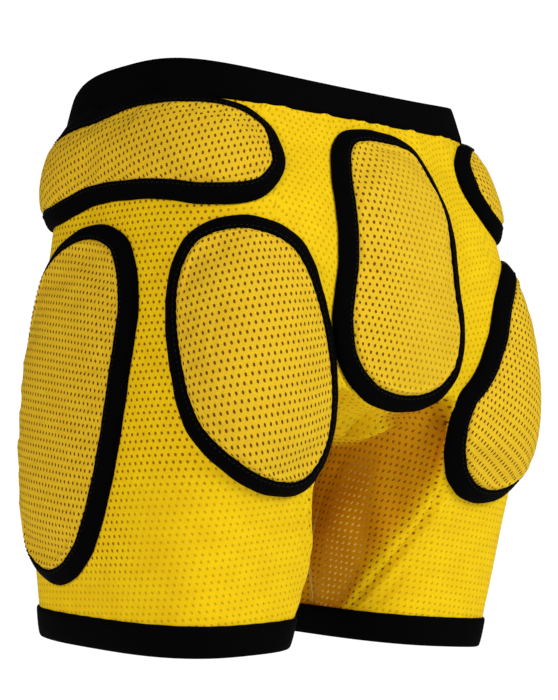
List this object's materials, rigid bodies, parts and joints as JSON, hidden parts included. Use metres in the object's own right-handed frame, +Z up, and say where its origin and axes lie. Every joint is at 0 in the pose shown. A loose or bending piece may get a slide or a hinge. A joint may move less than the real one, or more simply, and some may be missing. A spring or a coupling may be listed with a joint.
{
  "type": "padded impact shorts",
  "caption": "Close-fitting stretch mesh shorts with elastic waistband and hems and domed foam impact pads at the hips, thighs, buttocks and tailbone.",
  "frame": {"origin": "centre of the waist opening, level with the top of the waistband at the centre back", "axes": "+X to the wearer's left, +Y to the wearer's back, +Z up to the waist; the legs hang down -Z"},
  "size_m": [0.3932, 0.2738, 0.428],
  "materials": {
    "yellow_mesh": "matte perforated stretch mesh",
    "pad_cover": "matte perforated mesh over dark foam",
    "black_knit": "matte soft knit binding",
    "pad_foam": "matte perforated closed-cell foam",
    "elastic": "matte ribbed elastic"
  },
  "bodies": {
    "pelvis": {"waistband_cover": "black_knit", "waistband_elastic": "elastic", "left_seat_panel": "yellow_mesh", "right_seat_panel": "yellow_mesh", "left_flex_panel": "yellow_mesh", "right_flex_panel": "yellow_mesh", "tailbone_pad_foam": "pad_foam", "tailbone_pad_cover": "pad_cover", "tailbone_pad_binding": "black_knit", "left_hip_pad_foam": "pad_foam", "left_hip_pad_cover": "pad_cover", "left_hip_pad_binding": "black_knit", "right_hip_pad_foam": "pad_foam", "right_hip_pad_cover": "pad_cover", "right_hip_pad_binding": "black_knit", "left_buttock_pad_foam": "pad_foam", "left_buttock_pad_cover": "pad_cover", "left_buttock_pad_binding": "black_knit", "right_buttock_pad_foam": "pad_foam", "right_buttock_pad_cover": "pad_cover", "right_buttock_pad_binding": "black_knit"},
    "left_leg": {"left_leg_panel": "yellow_mesh", "left_hem_band": "black_knit", "left_hem_elastic": "elastic", "left_thigh_pad_foam": "pad_foam", "left_thigh_pad_cover": "pad_cover", "left_thigh_pad_binding": "black_knit"},
    "right_leg": {"right_leg_panel": "yellow_mesh", "right_hem_band": "black_knit", "right_hem_elastic": "elastic", "right_thigh_pad_foam": "pad_foam", "right_thigh_pad_cover": "pad_cover", "right_thigh_pad_binding": "black_knit"}
  },
  "joints": [
    {"name": "left_hip_flex", "type": "hinge", "parent": "pelvis", "child": "left_leg", "pos_m": [0.09, 0, -0.15], "axis": [-1, 0, 0], "range_deg": [-8, 25], "stiffness_Nm_per_rad": 1.5, "deforming": ["left_flex_panel"]},
    {"name": "right_hip_flex", "type": "hinge", "parent": "pelvis", "child": "right_leg", "pos_m": [-0.09, 0, -0.15], "axis": [-1, 0, 0], "range_deg": [-8, 25], "stiffness_Nm_per_rad": 1.5, "deforming": ["right_flex_panel"]}
  ]
}
